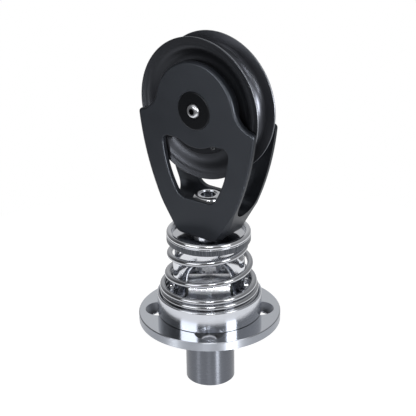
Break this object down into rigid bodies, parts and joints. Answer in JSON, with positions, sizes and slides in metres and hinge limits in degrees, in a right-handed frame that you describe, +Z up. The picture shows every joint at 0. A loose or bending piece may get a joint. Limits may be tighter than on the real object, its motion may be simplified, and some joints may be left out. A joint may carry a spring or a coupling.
{
  "type": "stand-up block",
  "caption": "Stand-up sheave block for a sailing boat's deck: a one-piece frame swivels on a toggle that a tapered coil spring keeps upright on a round flange with a deck post.",
  "frame": {"origin": "centre of the flange's underside on the deck post's axis, in the plane of the deck", "axes": "+Z up along the deck post; +X along the toggle pin; the sheave's axle is level, and at rest the block's front cheek faces -Y turned 36.7 degrees towards -X"},
  "size_m": [0.1444, 0.1444, 0.366],
  "materials": {
    "polished_stainless": "mirror-polished stainless steel",
    "turned_stainless": "fine-turned stainless steel",
    "frame_anodised": "dark grey satin anodising",
    "sheave_anodised": "matt black hard anodising",
    "cap_anodised": "satin black anodising",
    "bearing_steel": "ground bearing steel",
    "bearing_plastic": "moulded bearing plastic"
  },
  "bodies": {
    "base": {"base_flange": "polished_stainless", "deck_post": "turned_stainless", "lug_bush": "bearing_plastic", "spring_cup": "polished_stainless", "spring": "polished_stainless"},
    "toggle": {"toggle_fork": "polished_stainless", "toggle_pin": "polished_stainless", "pin_keeper": "polished_stainless", "spring_top_ring": "polished_stainless", "thrust_washer": "turned_stainless", "swivel_bolt": "turned_stainless", "head_washer": "turned_stainless", "castle_nut": "turned_stainless", "split_pin": "turned_stainless"},
    "head": {"block_frame": "frame_anodised", "neck_bush": "bearing_plastic", "axle": "turned_stainless", "axle_sleeve": "turned_stainless", "front_axle_cap": "cap_anodised", "rear_axle_cap": "cap_anodised", "front_cap_screw": "turned_stainless", "rear_cap_screw": "turned_stainless", "front_race": "bearing_steel", "rear_race": "bearing_steel"},
    "sheave": {"sheave": "sheave_anodised", "rollers": "bearing_steel", "roller_cage": "bearing_plastic", "front_balls": "bearing_steel", "rear_balls": "bearing_steel", "front_retainer": "sheave_anodised", "rear_retainer": "sheave_anodised", "front_retainer_screws": "turned_stainless", "rear_retainer_screws": "turned_stainless"}
  },
  "joints": [
    {"name": "toggle_hinge", "type": "hinge", "parent": "base", "child": "toggle", "pos_m": [0, 0, 0.034], "axis": [1, 0, 0], "range_deg": [-35, 35], "stiffness_Nm_per_rad": 30, "deforming": ["spring"]},
    {"name": "block_swivel", "type": "hinge", "parent": "toggle", "child": "head", "pos_m": [0, 0, 0.11], "axis": [0, 0, 1], "continuous": true},
    {"name": "sheave_spin", "type": "hinge", "parent": "head", "child": "sheave", "pos_m": [0, 0, 0.228], "axis": [-0.5976, -0.8018, 0], "continuous": true}
  ]
}
